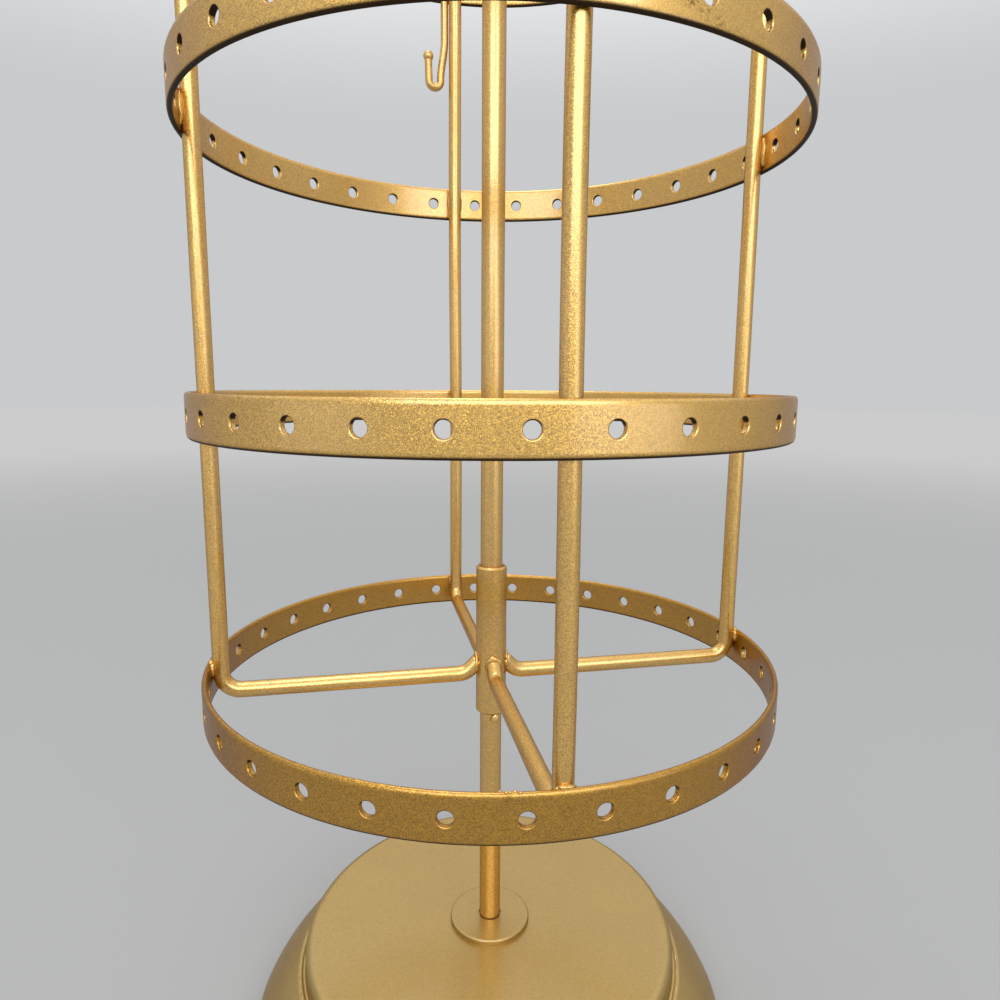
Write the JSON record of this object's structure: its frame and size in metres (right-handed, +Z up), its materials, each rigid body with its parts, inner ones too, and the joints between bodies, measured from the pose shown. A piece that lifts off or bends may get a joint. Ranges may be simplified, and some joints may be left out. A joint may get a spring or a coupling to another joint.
{
  "type": "rotating earring stand",
  "caption": "Tabletop earring carousel: perforated metal rings on upright wires turn about a post on a round weighted base, with ball-tipped necklace hooks.",
  "frame": {"origin": "centre of the pad's underside, on the post's axis, on the surface that the stand rests on", "axes": "+Z up along the post, -Y is the front, +X to the right seen from the front"},
  "size_m": [0.15, 0.15, 0.3472],
  "materials": {
    "gold_frame": "satin metallic gold paint with fine flake",
    "gold_base": "smooth satin champagne gold paint",
    "gold_post": "satin metallic gold paint",
    "zinc": "zinc plated",
    "iron": "as cast",
    "plate": "plain black primer",
    "pad": "matte foam rubber"
  },
  "bodies": {
    "stand": {"base_shell": "gold_base", "base_ballast": "iron", "base_plate": "plate", "base_pad": "pad", "foot_washer": "gold_base", "nut_washer": "zinc", "base_nut": "zinc", "post": "gold_post", "stop_pin": "gold_post", "top_washer": "gold_post", "finial": "gold_post"},
    "carousel": {"lower_hub": "gold_frame", "upper_hub": "gold_frame", "ring_1": "gold_frame", "ring_2": "gold_frame", "ring_3": "gold_frame", "ring_4": "gold_frame", "upright_front": "gold_frame", "upright_right": "gold_frame", "upright_back": "gold_frame", "upright_left": "gold_frame", "hook_front": "gold_frame", "hook_right": "gold_frame", "hook_back": "gold_frame", "hook_left": "gold_frame"}
  },
  "joints": [
    {"name": "carousel_turn", "type": "hinge", "parent": "stand", "child": "carousel", "pos_m": [0, 0, 0.1], "axis": [0, 0, 1], "continuous": true}
  ]
}
